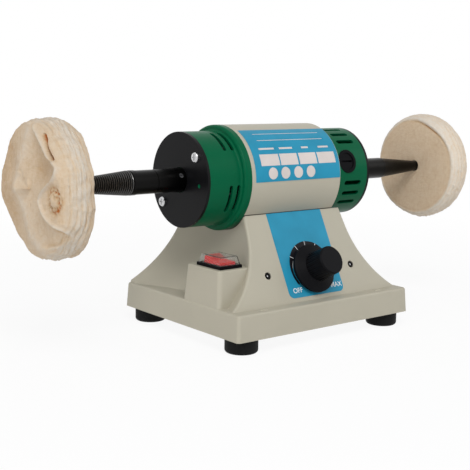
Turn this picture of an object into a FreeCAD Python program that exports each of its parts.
import FreeCAD, Part
import os
import Sketcher

# A bench polishing lathe. X runs along the spindle, the control panel faces -Y and +Z is up.
# The origin lies on the bench, straight below the middle of the motor.

Vector = FreeCAD.Vector
AXIS_X = Vector(1, 0, 0)
AXIS_Y = Vector(0, 1, 0)
AXIS_Z = Vector(0, 0, 1)

doc = FreeCAD.newDocument("PolishingLathe")

# Driving dimensions, in millimetres and degrees

SIZES = (
    ("axis_height", 130, "spindle axis above the bench"),
    ("fit_gap", 0.1, "clearance of a pushed fit, on the radius"),
    ("run_gap", 0.05, "clearance of a running fit, on the radius"),
    # Motor housing
    ("motor_half", 89, "motor middle to an end plate's outer face"),
    ("plate_thickness", 2.5, "end plate"),
    ("plate_bore", 10.3, "radius of the spindle's hole in an end plate"),
    ("peep_radius", 1.7, "radius of the small hole in the left end plate"),
    ("peep_out", 26.7, "small hole's distance from the axis"),
    ("peep_angle", -6, "small hole's angle above the front"),
    ("plate_screw_out", 30, "end plate screws' distance from the axis"),
    ("plate_screw_angle", 41, "first end plate screw's angle above the front"),
    ("cap_step", 4.9, "end cap's side inside the tube's"),
    ("cap_radius", "=tube_radius - cap_step", "end cap, outside radius"),
    ("cap_wall", 2, "end cap, side wall"),
    ("cap_end", 3, "end cap, end wall"),
    ("cap_length", 40.2, "tube's end to the end plate's outer face"),
    ("tube_half", "=motor_half - cap_length", "motor middle to the tube's end"),
    ("tube_radius", 43.6, "motor tube, outside radius"),
    ("tube_wall", 2, "motor tube wall"),
    ("flange_rise", 0.1, "left cap's flange outside the tube"),
    ("flange_radius", "=tube_radius + flange_rise", "left cap's flange"),
    ("flange_width", 6.7, "left cap's flange, along the axis"),
    ("flange_round", 2.5, "rounding of the flange"),
    ("flange_neck", 2, "rounding between the flange and the cap"),
    ("spigot_length", 5, "cap's spigot inside the tube"),
    ("vent_angle", 18, "angle above the front about which the slots are even"),
    ("ring_slot_width", 3.3, "left cap's slot, along the axis"),
    ("ring_slot_span", 30.5, "angle between the middles of that slot's round ends"),
    ("ring_slot_turn", 39.2, "slot middle's angle from the slots' middle line"),
    ("ring_slot_out", 9.55, "tube's end to the first slot of a pair"),
    ("ring_slot_first", "=tube_half + ring_slot_out", "motor middle to that slot"),
    ("ring_slot_pitch", 7.5, "distance between the slots of a pair"),
    ("long_slot_width", 4, "right cap's slot, across"),
    ("long_slot_length", 20, "right cap's slot, along the axis"),
    ("long_slot_in", 19.35, "end plate's outer face to the slot's middle"),
    ("long_slot_middle", "=motor_half - long_slot_in", "motor middle to the slot's middle"),
    ("long_slot_turn", 28.5, "first slot's angle from the brush"),
    ("long_slot_step", 14.5, "angle between slots"),
    ("label_left_margin", 3.9, "motor label's left edge to the tube's end"),
    ("label_left", "=tube_half - label_left_margin", "motor label's left edge from the motor middle"),
    ("label_right_margin", 0.6, "motor label's right edge to the tube's end"),
    ("label_right", "=tube_half - label_right_margin", "motor label's right edge from the motor middle"),
    ("label_low", -1, "motor label's lower edge, angle above the front"),
    ("label_high", 64.6, "motor label's upper edge, angle above the front"),
    ("label_film", 0.25, "label thickness"),
    # Bearings and shaft
    ("shaft_radius", 5, "shaft in the bearings and spindles"),
    ("shaft_body", 6.5, "shaft inside the armature"),
    ("shaft_out", 23, "shaft's end outside the end plate"),
    ("shaft_half", "=motor_half + shaft_out", "motor middle to the shaft's end"),
    ("shaft_step_in", 39, "shaft's shoulder inside the end plate's outer face"),
    ("shaft_step", "=motor_half - shaft_step_in", "motor middle to the shaft's shoulder"),
    ("shaft_hole", 8, "shaft's hole in a cap's end wall, radius"),
    ("bearing_radius", 13, "bearing, outside radius"),
    ("bearing_width", 8, "bearing width"),
    ("race_inner", 7.6, "inner race, outside radius"),
    ("race_outer", 10.6, "outer race, inside radius"),
    ("ball_radius", 1.75, "bearing ball"),
    ("ball_pitch", 9.1, "balls' distance from the axis"),
    ("ball_count", 8, "balls in a bearing"),
    ("cage_half", 1, "half the cage's width along the axis"),
    ("cage_thickness", 0.8, "cage, on the radius"),
    ("boss_wall", 4, "wall round a bearing"),
    # Electrical parts of the motor
    ("stack_half", 20, "half the length of the stator and armature cores"),
    ("pole_depth", 20, "tube's outside to the bore between the poles"),
    ("pole_radius", "=tube_radius - pole_depth", "bore between the stator's poles"),
    ("shoe_thickness", 3.4, "pole shoe"),
    ("yoke_thickness", 6, "stator ring"),
    ("neck_half", 12, "half the width of a pole's neck"),
    ("pole_gap_half", 11, "half the gap between the pole tips"),
    ("coil_gap", 0.4, "insulation round a coil"),
    ("coil_overhang", 7, "coil beyond the stator core"),
    ("air_gap", 0.6, "armature to pole"),
    ("tooth_slots", 12, "armature slots"),
    ("tooth_slot_width", 4, "armature slot"),
    ("tooth_slot_floor", 12, "armature slot's floor, radius"),
    ("winding_in", 2.6, "armature end winding inside the poles' bore"),
    ("winding_radius", "=pole_radius - winding_in", "armature end winding, outside radius"),
    ("winding_overhang", 10, "winding beyond the armature core"),
    ("commutator_radius", 13, "commutator"),
    ("commutator_length", 19, "commutator, along the axis"),
    ("commutator_bars", 24, "commutator bars"),
    ("bar_gap", 0.6, "gap between commutator bars"),
    ("bar_gap_depth", 1, "depth of that gap"),
    ("fan_clear", 6.7, "cooling fan inside the end cap's outside"),
    ("fan_radius", "=cap_radius - fan_clear", "cooling fan"),
    ("fan_width", 12, "fan, along the axis"),
    ("fan_in", 37, "fan's disc inside the end plate's outer face"),
    ("fan_start", "=motor_half - fan_in", "motor middle to the fan's disc"),
    ("fan_disc", 1.5, "fan disc and blade thickness"),
    ("fan_hub", 9, "fan hub radius"),
    ("fan_blades", 10, "fan blades"),
    ("brush_in", 25.35, "brushes inside the end plate's outer face"),
    ("brush_place", "=motor_half - brush_in", "motor middle to the brushes"),
    ("brush_tube_radius", 10.2, "brush holder tube, outside radius"),
    ("brush_tube_foot", 15, "brush holder's inner end from the axis"),
    ("brush_cap_radius", 7.5, "brush cap"),
    ("brush_cap_thickness", 4, "brush cap"),
    ("brush_along", 9, "carbon brush, along the axis"),
    ("brush_across", 6, "carbon brush, around the axis"),
    ("brush_length", 14, "carbon brush"),
    ("brush_spring_radius", 2.8, "brush spring, outside radius"),
    ("brush_spring_wire", 0.8, "brush spring's sleeve thickness"),
    ("brush_cap_sink", 0.8, "brush cap below its holder's rim"),
    ("coin_slot", 1.6, "slot in a brush cap"),
    ("coin_reach", 6, "half the length of that slot"),
    # Spindles and wheels
    ("spindle_radius", 9.5, "spindle cylinder"),
    ("spindle_root", 1, "spindle inside the end plate"),
    ("hub_gap", 0.5, "end plate's outer face to the left spindle's hub"),
    ("hub_width", 6.5, "left spindle's hub, along the axis"),
    ("hub_rise", 0.4, "hub's height above the spindle"),
    ("thread_out", 47.9, "end plate's outer face to the left taper"),
    ("thread_length", 73.1, "left taper"),
    ("thread_start", "=motor_half + thread_out", "motor middle to the left taper"),
    ("thread_end", "=thread_start + thread_length", "motor middle to the left taper's tip"),
    ("thread_radius", 9.45, "left taper at its start"),
    ("thread_tip", 2.3, "left taper at its tip"),
    ("collar_width", 4, "raised collar before the left taper"),
    ("collar_rise", 0.3, "collar's height above the spindle"),
    ("ring_groove_out", 25.9, "end plate's outer face to the left spindle's fine groove"),
    ("ring_groove_place", "=motor_half + ring_groove_out", "motor middle to that groove"),
    ("ring_groove", 0.5, "fine groove's width and depth"),
    ("set_screw_radius", 2, "set screw in a spindle"),
    ("set_screw_out", 4, "end plate's outer face to the set screw's middle"),
    ("set_screw_angle", 28, "set screw's angle above the front"),
    ("set_screw_sink", 0.4, "set screw below the spindle's surface"),
    ("set_screw_key", 1.1, "set screw's hexagon, middle to corner"),
    ("taper_out", 53, "end plate's outer face to the right taper"),
    ("taper_length", 64, "right taper"),
    ("taper_start", "=motor_half + taper_out", "motor middle to the right taper"),
    ("taper_end", "=taper_start + taper_length", "motor middle to the right taper's tip"),
    ("taper_radius", 9.3, "right taper at its start"),
    ("taper_tip", 3.5, "right taper at its tip"),
    ("left_wheel_on", 59.5, "left taper's start to the wheel's inner face"),
    ("left_wheel_near", "=thread_start + left_wheel_on", "motor middle to the left wheel's inner face"),
    ("left_wheel_width", 23, "left wheel"),
    ("left_wheel_radius", 50.7, "left wheel"),
    ("right_wheel_on", 50, "right taper's start to the wheel's inner face"),
    ("right_wheel_near", "=taper_start + right_wheel_on", "motor middle to the right wheel's inner face"),
    ("right_wheel_width", 23.7, "right wheel"),
    ("right_wheel_radius", 50, "right wheel"),
    ("wheel_round", 8, "rounding of a wheel's rim"),
    # Pedestal
    ("stand_middle", 5, "pedestal's middle from the motor's middle"),
    ("plinth_width", 190, "plinth, left to right, at its foot"),
    ("plinth_depth", 160, "plinth, front to back, at its foot"),
    ("plinth_low", 12, "plinth's lower edge above the bench"),
    ("plinth_high", 33, "plinth's top above the bench"),
    ("plinth_draft", 3.3, "slope of the plinth's walls, degrees"),
    ("plinth_corner", 3, "plinth's upright corners"),
    ("plinth_edge", 2, "plinth's top edge"),
    ("wall", 3, "pedestal's wall"),
    ("plinth_wall", 4.5, "plinth's wall at its foot"),
    ("panel_top_turn", 40.617, "panel's upper edge, angle round the tube below its front"),
    ("panel_top_sink", 0.125, "panel's upper edge inside the tube's outside"),
    ("panel_top_reach", "=tube_radius - panel_top_sink", "panel's upper edge from the axis"),
    ("panel_top_out", "=panel_top_reach * cos(panel_top_turn)", "panel's upper edge in front of the axis"),
    ("panel_top_high", "=axis_height - panel_top_reach * sin(panel_top_turn)", "that edge above the bench"),
    ("panel_lean", 26.7, "panel's lean from upright, degrees"),
    ("panel_length", "=(panel_top_high - plinth_high) / cos(panel_lean)", "panel, down the slope"),
    ("rear_out", 76.5, "rear panel's foot behind the axis"),
    ("rear_lean", 25.3, "rear panel's lean from upright, degrees"),
    ("tower_half", 92, "half the tower's width at its foot"),
    ("tower_top_under", 17, "top of the cradle's rear lip below the axis"),
    ("tower_top", "=axis_height - tower_top_under", "top of the cradle's rear lip above the bench"),
    ("scoop_radius", 150, "side wall's hollow, seen from above"),
    ("scoop_far", 200, "pedestal's middle to the centre of that hollow"),
    ("scoop_bend", 72, "side wall's hollow, seen from the front"),
    ("scoop_level", 85, "height above which the side wall is upright"),
    ("scoop_reach", 66.24, "side wall's hollow, down from that height"),
    ("ridge_round", 1.8, "rounding of the tower's front and rear ridges"),
    ("cradle_gap", 0.2, "motor tube to its cradle"),
    ("nub_side", 64, "ledge nub from the pedestal's middle"),
    ("nub_out", 73, "ledge nub in front of the axis"),
    ("nub_rise", 0.9, "ledge nub's height"),
    ("nub_half_long", 4.5, "half the nub's length"),
    ("nub_half_deep", 2, "half the nub's depth"),
    ("base_plate", 1.5, "bottom plate"),
    ("foot_inset", 16, "foot's centre from the plinth's edges"),
    ("foot_radius", 13.3, "rubber foot"),
    ("foot_round", 2.5, "rounding of the foot's lower edge"),
    ("foot_recess", 5.5, "radius of the screw's recess in a foot"),
    ("foot_recess_depth", 6, "depth of that recess"),
    ("post_radius", 5, "screw post inside the plinth"),
    ("gland_high", 22, "cord grommet above the bench"),
    ("gland_bore", 3.8, "cord grommet's bore, radius"),
    ("gland_neck", 6, "grommet's neck, radius"),
    ("gland_flange", 8, "grommet's flange, radius"),
    ("gland_lip", 1.5, "grommet's flange thickness"),
    # Switch
    ("box_far", 90.5, "pedestal's middle to the switch box's left wall, at the top"),
    ("box_near", 50, "pedestal's middle to the box's right end, inside the tower"),
    ("box_front", 50, "box's front wall in front of the axis, at the top"),
    ("box_rear", 6, "box's rear wall in front of the axis, at the top"),
    ("box_high", 62.5, "box's top above the bench"),
    ("box_draft", 4.5, "slope of the box's walls, degrees"),
    ("box_round", 1, "rounding of the box's top edges"),
    ("box_corner", 3.5, "rounding of the box's upright edges"),
    ("switch_side", 76, "switch's middle from the pedestal's middle"),
    ("switch_out", 30.5, "switch's middle in front of the axis"),
    ("bezel_width", 22, "switch frame, left to right"),
    ("bezel_length", 31, "switch frame, front to back"),
    ("bezel_height", 2.5, "switch frame above the box"),
    ("bezel_rim", 1.3, "switch frame's rim outside its body"),
    ("switch_depth", 20, "switch body below the box's top"),
    ("well_width", 15, "rocker's well, left to right"),
    ("well_length", 23.8, "rocker's well, front to back"),
    ("well_depth", 10, "rocker's well below the box's top"),
    ("rocker_gap", 0.3, "rocker to its well, each side"),
    ("rocker_half", 10.6, "half the rocker's length"),
    ("rocker_high", 7.4, "rocker's ends above its pivot"),
    ("rocker_dip", 5.9, "rocker's middle above its pivot"),
    ("rocker_low", 5, "rocker's foot below its pivot"),
    ("rocker_tilt", 9, "rocker's tilt either way, degrees"),
    ("pivot_drop", 1, "rocker's pivot below the box's top"),
    ("pivot_radius", 1.2, "rocker's pivot pin"),
    ("pivot_reach", 1.2, "pin beyond the rocker's side"),
    ("cover_height", 7, "clear cover above the switch frame"),
    ("cover_inset", 0.5, "clear cover's foot inside the frame's edge"),
    ("cover_wall", 0.9, "clear cover"),
    ("cover_draft", 15, "slope of the cover's walls, degrees"),
    ("cover_round", 1.6, "rounding of the cover"),
    ("blade_width", 6.3, "switch terminal"),
    ("blade_thickness", 0.8, "switch terminal"),
    ("blade_length", 8, "switch terminal"),
    ("blade_spread", 8, "terminals' distance from the switch's middle"),
    # Panel and speed control
    ("panel_label_half", 30.3, "half the panel label's width"),
    ("panel_label_foot", 3.4, "panel label's lower edge to the panel's foot"),
    ("panel_label_length", "=panel_length - panel_label_foot", "panel label, down the slope"),
    ("panel_label_round", 5, "panel label's lower corners"),
    ("knob_up", 24.9, "knob's middle to the panel's foot, up the slope"),
    ("knob_down", "=panel_length - knob_up", "knob's middle below the panel's upper edge, down the slope"),
    ("skirt_radius", 20.5, "knob skirt"),
    ("skirt_low", 3, "skirt's lower edge off the panel"),
    ("skirt_rim", 2.4, "skirt's rim height"),
    ("grip_radius", 12.4, "knob grip at its foot"),
    ("grip_top_radius", 11.8, "knob grip at its top"),
    ("grip_foot", 9.5, "grip's foot off the panel"),
    ("knob_height", 28, "knob's top off the panel"),
    ("grip_flutes", 24, "flutes round the grip"),
    ("flute_radius", 0.9, "flute"),
    ("flute_out", 0.27, "flute's middle outside the grip's foot"),
    ("knob_edge", 1, "chamfer of the knob's top"),
    ("pot_shaft_radius", 3, "potentiometer shaft"),
    ("pot_shaft_reach", 20, "shaft's end off the panel"),
    ("pot_bush_radius", 3.5, "potentiometer's threaded bush"),
    ("pot_bush_reach", 5, "bush's end off the panel"),
    ("pot_radius", 8.5, "potentiometer body"),
    ("pot_depth", 9, "potentiometer body"),
    ("nut_radius", 5.8, "potentiometer nut, across its corners"),
    ("nut_height", 2.3, "potentiometer nut"),
    ("bracket_half", 50, "half the control bracket's width"),
    ("bracket_half_height", 14, "half the bracket's height"),
    ("bracket_thickness", 1.5, "control bracket"),
    ("board_half", 30, "half the circuit board's width"),
    ("board_half_height", 20, "half the board's height"),
    ("board_thickness", 1.6, "circuit board"),
    ("board_back", 16, "bracket to board"),
    ("board_post_side", 26, "board posts from the middle"),
    ("board_post_up", 10, "board posts above and below the knob's level"),
    ("board_post_radius", 2.5, "board post"),
    ("capacitor_radius", 7, "capacitor on the board"),
    ("capacitor_length", 16, "capacitor on the board"),
    ("choke_radius", 5, "choke's ring, to its wire's middle"),
    ("choke_wire", 3, "choke's ring thickness, half"),
    ("sink_width", 18, "heat sink, across"),
    ("sink_height", 15, "heat sink, up"),
    ("sink_depth", 12, "heat sink, off the board"),
    ("panel_screw_side", 46.5, "panel screws from the middle"),
    # Screws: head radius, head height and shank radius
    ("pan_head", 4, "end plate screw's head"),
    ("pan_height", 2.2, "end plate screw's head"),
    ("pan_shank", 2, "end plate screw's shank"),
    ("socket_head", 2.8, "panel screw's head"),
    ("socket_height", 2.2, "panel screw's head"),
    ("socket_shank", 1.5, "panel screw's shank"),
    ("socket_sink", 1.9, "depth of the panel screw's recess"),
    ("foot_head", 4.5, "foot screw's head"),
    ("foot_head_height", 3, "foot screw's head"),
    ("foot_shank", 2, "foot screw's shank"),
    ("foot_grip", 10, "foot screw inside its post"),
    ("motor_head", 4.5, "motor screw's head"),
    ("motor_head_height", 3.5, "motor screw's head"),
    ("motor_shank", 2.5, "motor screw's shank"),
    ("motor_grip", 4.5, "motor screw inside the stator ring"),
    ("motor_screw_side", 12, "motor screws from the motor's middle"),
    ("recess_depth", 1.3, "driver recess in a screw's head"),
    ("recess_arm", 0.9, "driver recess's arm, across"),
    ("recess_reach", 0.62, "that arm's length, as a share of the head's radius"),
)

sheet = doc.addObject("Spreadsheet::Sheet", "dim")
for row, (alias, value, meaning) in enumerate(SIZES, 1):
    sheet.set("A%d" % row, meaning)
    sheet.set("B%d" % row, str(value))
    sheet.setAlias("B%d" % row, alias)
doc.recompute()

# Places that several pieces share, as rules on the sheet

PLATE_IN = "(dim.motor_half - dim.plate_thickness)"
END_IN = "(dim.motor_half - dim.plate_thickness - dim.cap_end)"
SEAT_IN = "(dim.motor_half - dim.plate_thickness - dim.cap_end - dim.bearing_width)"
BEARING_X = "(dim.motor_half - dim.plate_thickness - dim.cap_end - dim.bearing_width / 2)"
CAP_BORE = "(dim.cap_radius - dim.cap_wall)"
TUBE_BORE = "(dim.tube_radius - dim.tube_wall)"
SPIGOT = "(dim.tube_radius - dim.tube_wall - dim.fit_gap)"
YOKE_BORE = "(dim.tube_radius - dim.tube_wall - dim.fit_gap - dim.yoke_thickness)"
SHOE_BACK = "(dim.pole_radius + dim.shoe_thickness)"
CORE_RADIUS = "(dim.pole_radius - dim.air_gap)"
CRADLE = "(dim.tube_radius + dim.cradle_gap)"
CRADLE_LOW = "(dim.axis_height - dim.tube_radius - dim.cradle_gap - dim.wall)"
LEFT = "-1 * "
RIGHT = ""
nodes = []


def number(rule):
    """The present value of a rule on the sheet."""
    return float(sheet.evalExpression(rule))


def node(thing, name):
    """Keep a finished sub-part under its own name."""
    thing.Label = name
    nodes.append(thing)
    return thing


def place(thing, base=("0", "0", "0"), turn=None):
    """Set a piece at a point, turned about an axis by a rule's angle."""
    if turn:
        axis, angle = turn
        thing.Placement = FreeCAD.Placement(Vector(), FreeCAD.Rotation(axis, 1))
        thing.setExpression("Placement.Rotation.Angle", angle)
    for letter, rule in zip("xyz", base):
        thing.setExpression("Placement.Base." + letter, rule)
    return thing


def solid(kind, name, sizes, base=("0", "0", "0"), turn=None):
    """A plain solid with its sizes bound to the sheet."""
    thing = doc.addObject(kind, name)
    for what, rule in sizes.items():
        thing.setExpression(what, rule)
    return place(thing, base, turn)


def rod(name, radius, length, base, turn=None):
    """A cylinder along Z, or turned."""
    return solid("Part::Cylinder", name, {"Radius": radius, "Height": length}, base, turn)


def block(name, size, base, turn=None):
    """A box from its three lengths and its low corner."""
    return solid("Part::Box", name, dict(zip(("Length", "Width", "Height"), size)), base, turn)


def join(name, pieces):
    """Several solids made one."""
    thing = doc.addObject("Part::MultiFuse", name)
    thing.Shapes = pieces
    return thing


def gather(name, pieces):
    """Several solids kept apart in one group."""
    thing = doc.addObject("Part::Compound", name)
    thing.Links = pieces
    return thing


def cut(name, base, tool):
    """One solid with another taken away."""
    thing = doc.addObject("Part::Cut", name)
    thing.Base = base
    thing.Tool = tool
    return thing


def common(name, base, tool):
    """What two solids share."""
    thing = doc.addObject("Part::Common", name)
    thing.Base = base
    thing.Tool = tool
    return thing


def sketch_on(body, plane, lift=None):
    """A sketch on one of the body's own planes, lifted along its normal."""
    sketch = body.newObject("Sketcher::SketchObject", body.Name + "_sketch")
    origin = [feature for feature in body.Origin.OriginFeatures if feature.Role == plane][0]
    sketch.AttachmentSupport = [(origin, "")]
    sketch.MapMode = "FlatFace"
    if lift:
        sketch.setExpression("AttachmentOffset.Base.z", lift)
    return sketch


def bind(sketch, kind, geometry, point, rule):
    """One dimension of a sketch bound to the sheet."""
    if point:
        constraint = Sketcher.Constraint(kind, -1, 1, geometry, point, number(rule))
    else:
        constraint = Sketcher.Constraint(kind, geometry, number(rule))
    index = sketch.addConstraint(constraint)
    sketch.setExpression("Constraints[%d]" % index, rule)


def outline(sketch, corners):
    """A closed line through corners given as rules. A corner with a centre starts an arc round it."""
    points = [Vector(number(corner[0]), number(corner[1]), 0) for corner in corners]
    first = sketch.GeometryCount
    count = len(corners)
    ends = []
    for index, corner in enumerate(corners):
        start, stop = points[index], points[(index + 1) % count]
        if len(corner) == 2:
            sketch.addGeometry(Part.LineSegment(start, stop), False)
            ends.append((1, 2))
            continue
        centre = Vector(number(corner[2]), number(corner[3]), 0)
        middle = (start + stop) * 0.5 - centre
        middle.normalize()
        arc = Part.Arc(start, centre + middle * (start - centre).Length, stop)
        sketch.addGeometry(arc, False)
        forward = (start - centre).cross(stop - centre).z > 0
        ends.append((1, 2) if forward else (2, 1))
    for index in range(count):
        after = (index + 1) % count
        sketch.addConstraint(
            Sketcher.Constraint("Coincident", first + index, ends[index][1], first + after, ends[after][0])
        )
    for index, corner in enumerate(corners):
        before = corners[index - 1]
        ways = ("DistanceX", "DistanceY")
        if len(before) > 2:
            across, up = (abs(number("(%s) - (%s)" % (corner[k], before[k + 2]))) for k in (0, 1))
            ways = ("DistanceX",) if up > across else ("DistanceY",)
        for way in ways:
            bind(sketch, way, first + index, ends[index][0], corner[way == "DistanceY"])
        if len(corner) > 2:
            bind(sketch, "DistanceX", first + index, 3, corner[2])
            bind(sketch, "DistanceY", first + index, 3, corner[3])


def ring(sketch, centre, radius):
    """A circle bound to the sheet."""
    circle = Part.Circle(Vector(number(centre[0]), number(centre[1]), 0), AXIS_Z, number(radius))
    index = sketch.addGeometry(circle, False)
    bind(sketch, "DistanceX", index, 3, centre[0])
    bind(sketch, "DistanceY", index, 3, centre[1])
    bind(sketch, "Radius", index, None, radius)


def new_body(name, base=("0", "0", "0"), turn=None):
    """An empty body at its place."""
    return place(doc.addObject("PartDesign::Body", name), base, turn)


def revolve(body, corners, about="H_Axis", angle=None):
    """An outline on the body's XZ plane turned about its X or Z axis, right round or by an angle."""
    sketch = sketch_on(body, "XZ_Plane")
    outline(sketch, corners)
    turn = body.newObject("PartDesign::Revolution", body.Name + "_turn")
    turn.Profile = sketch
    turn.ReferenceAxis = (sketch, [about])
    turn.Angle = 360
    if angle:
        turn.setExpression("Angle", angle)
        turn.Reversed = True
    return turn


def turned(name, corners, base, turn=None, about="V_Axis"):
    """A body that is one turned outline."""
    body = new_body(name, base, turn)
    revolve(body, corners, about)
    return body


def extrude(body, sketch, length, kind="Pad", both=False, reverse=False, draft=None):
    """A pad or pocket of a sketch."""
    feature = body.newObject("PartDesign::" + kind, body.Name + "_" + kind.lower())
    feature.Profile = sketch
    feature.setExpression("Length", length)
    feature.SideType = "Symmetric" if both else "One side"
    feature.Reversed = reverse
    if draft:
        feature.setExpression("TaperAngle", draft)
    return feature


def repeat_round(body, feature, sketch, count, axis="N_Axis"):
    """Copies of a feature round a sketch's normal, or one of its axes."""
    pattern = body.newObject("PartDesign::PolarPattern", body.Name + "_pattern")
    pattern.Originals = [feature]
    pattern.Axis = (sketch, [axis])
    pattern.Angle = 360
    pattern.setExpression("Occurrences", count)
    body.Tip = pattern
    return pattern


def round_edges(body, feature, chosen, radius):
    """A fillet on the feature's edges that the test picks."""
    doc.recompute()
    names = ["Edge%d" % i for i, edge in enumerate(feature.Shape.Edges, 1) if chosen(edge)]
    fillet = body.newObject("PartDesign::Fillet", body.Name + "_fillet")
    fillet.Base = (feature, names)
    fillet.setExpression("Radius", radius)
    return fillet


def rectangle(across_low, up_low, across_high, up_high):
    """Corners of a rectangle."""
    return [(across_low, up_low), (across_high, up_low), (across_high, up_high), (across_low, up_high)]


def on_axis(name, corners):
    """A piece turned about the spindle axis: corners are places along it and radii."""
    return turned(name, corners, ("0", "0", "dim.axis_height"), about="H_Axis")


def from_axis(angle, out="0"):
    """The Y and Z rules of a point at an angle above the front, out from the spindle axis."""
    return "-(%s) * cos(%s)" % (out, angle), "dim.axis_height + (%s) * sin(%s)" % (out, angle)


def panel_point(side, down, out):
    """A point on the panel: sideways, down its slope and out along its normal."""
    across = "dim.stand_middle + %s" % side
    back = "-(dim.panel_top_out + (%s) * sin(dim.panel_lean) + (%s) * cos(dim.panel_lean))" % (down, out)
    up = "dim.panel_top_high - (%s) * cos(dim.panel_lean) + (%s) * sin(dim.panel_lean)" % (down, out)
    return across, back, up


PANEL_TURN = (AXIS_X, "90 - dim.panel_lean")


def six_sides(arm):
    """Corners of a hexagon from its middle-to-corner length."""
    return [("%s * cos(%d)" % (arm, angle), "%s * sin(%d)" % (arm, angle)) for angle in range(0, 360, 60)]


def screw(name, head, height, shank, length, base, turn, hexagon=False):
    """A screw whose head's top is at the base, with a cross or hexagon recess."""
    body = new_body(name, base, turn)
    corners = [
        ("0", "0"),
        ("%s - %s / 4" % (head, height), "0"),
        (head, "-(%s) / 3" % height),
        (head, "-(%s)" % height),
        (shank, "-(%s)" % height),
        (shank, "-(%s + %s)" % (height, length)),
        ("0", "-(%s + %s)" % (height, length)),
    ]
    revolve(body, corners, "V_Axis")
    recess = sketch_on(body, "XY_Plane")
    if hexagon:
        shape = six_sides("(%s) / 2" % head)
    else:
        long_arm, thin = "(%s) * dim.recess_reach" % head, "dim.recess_arm / 2"
        quarter = [(long_arm, thin), (thin, thin), (thin, long_arm)]
        shape = []
        for across, up in ((1, 1), (-1, 1), (-1, -1), (1, -1)):
            part = quarter if across == up else quarter[::-1]
            shape += [("%d * %s" % (across, a), "%d * %s" % (up, b)) for a, b in part]
    outline(recess, shape)
    extrude(body, recess, "dim.recess_depth", "Pocket")
    return body


# Motor tube and labels

def motor_tube():
    """The cream tube, with two holes below for the screws that hold it to its cradle."""
    tube = on_axis("tube_body", rectangle("-dim.tube_half", TUBE_BORE, "dim.tube_half", "dim.tube_radius"))
    holes = [
        rod(
            "tube_hole",
            "dim.motor_shank + dim.fit_gap",
            "dim.tube_wall * 3",
            (side + "dim.motor_screw_side", "0", "dim.axis_height - dim.tube_radius - dim.tube_wall"),
        )
        for side in (LEFT, RIGHT)
    ]
    node(cut("tube", tube, gather("tube_holes", holes)), "motor_tube")


def motor_label():
    """A film bent round the tube's front."""
    start = ("-dim.label_left", "0", "dim.axis_height")
    length = "dim.label_left + dim.label_right"
    inside = "dim.tube_radius + dim.run_gap"
    film = new_body("label_body", start, (AXIS_X, "90 - dim.label_low"))
    corners = rectangle("0", inside, length, inside + " + dim.label_film")
    revolve(film, corners, angle="dim.label_high - dim.label_low")
    node(film, "motor_label")


# End caps, plates and their screws

def cap_outline(side, flanged):
    """An end cap from its end wall's hole, over its outside and back through the bearing seat."""
    shoulder = [("dim.tube_half", "dim.cap_radius")]
    if flanged:
        edge = "dim.tube_half + dim.flange_width"
        shoulder = [(edge, "dim.cap_radius"), (edge, "dim.flange_radius")]
        shoulder.append(("dim.tube_half", "dim.flange_radius"))
    spigot_end = "dim.tube_half - dim.spigot_length"
    boss = "dim.bearing_radius + dim.boss_wall"
    corners = [(PLATE_IN, "dim.shaft_hole"), (PLATE_IN, "dim.cap_radius")] + shoulder
    corners += [
        ("dim.tube_half", SPIGOT),
        (spigot_end, SPIGOT),
        (spigot_end, CAP_BORE),
        (END_IN, CAP_BORE),
        (END_IN, boss),
        (SEAT_IN, boss),
        (SEAT_IN, "dim.bearing_radius"),
        (END_IN, "dim.bearing_radius"),
        (END_IN, "dim.shaft_hole"),
    ]
    return [("%s(%s)" % (side, along), out) for along, out in corners]


PLATE_SCREW_ANGLES = ("dim.plate_screw_angle", "(dim.plate_screw_angle + 180)")


def plate_screw_holes(side, tag):
    """Tools for the end wall's screw holes."""
    tools = []
    for angle in PLATE_SCREW_ANGLES:
        base = (("%s(%s)" % (side, END_IN)),) + from_axis(angle, "dim.plate_screw_out")
        turn = (AXIS_Y, "90" if side == RIGHT else "-90")
        tools.append(rod(tag + "_screw_hole", "dim.pan_shank", "dim.cap_end", base, turn))
    return tools


def left_cap():
    """Green cap with a rounded flange and pairs of slots that run round it."""
    body = new_body("left_cap_body", ("0", "0", "dim.axis_height"))
    shape = revolve(body, cap_outline(LEFT, True))
    edge = number("-(dim.tube_half + dim.flange_width)")
    rim, neck = number("dim.flange_radius"), number("dim.cap_radius")

    def at_flange(edge_found, radius):
        curve = edge_found.Curve
        here = hasattr(curve, "Radius") and abs(curve.Radius - radius) < 0.01
        return here and abs(curve.Center.x - edge) < 0.01

    outer = round_edges(body, shape, lambda found: at_flange(found, rim), "dim.flange_round")
    round_edges(body, outer, lambda found: at_flange(found, neck), "dim.flange_neck")
    tools = plate_screw_holes(LEFT, "left")
    for pair in range(2):
        centre = "-(dim.ring_slot_first + dim.ring_slot_pitch * %d)" % pair
        for middle in (
            "dim.vent_angle + dim.ring_slot_turn",
            "dim.vent_angle - dim.ring_slot_turn",
            "dim.vent_angle + 180 + dim.ring_slot_turn",
            "dim.vent_angle + 180 - dim.ring_slot_turn",
        ):
            tools.append(ring_slot(centre, middle))
    node(cut("left_cap", body, gather("left_cap_tools", tools)), "cap_left")


SLOT_FLOOR = "(dim.cap_radius - dim.cap_wall * 2)"


def slot_end(along, angle, width):
    """A rod out through a cap's wall that rounds one end of a slot."""
    base = (along,) + from_axis(angle, SLOT_FLOOR)
    return rod("slot_end", "%s / 2" % width, "dim.cap_wall * 3", base, (AXIS_X, "90 - (%s)" % angle))


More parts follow.
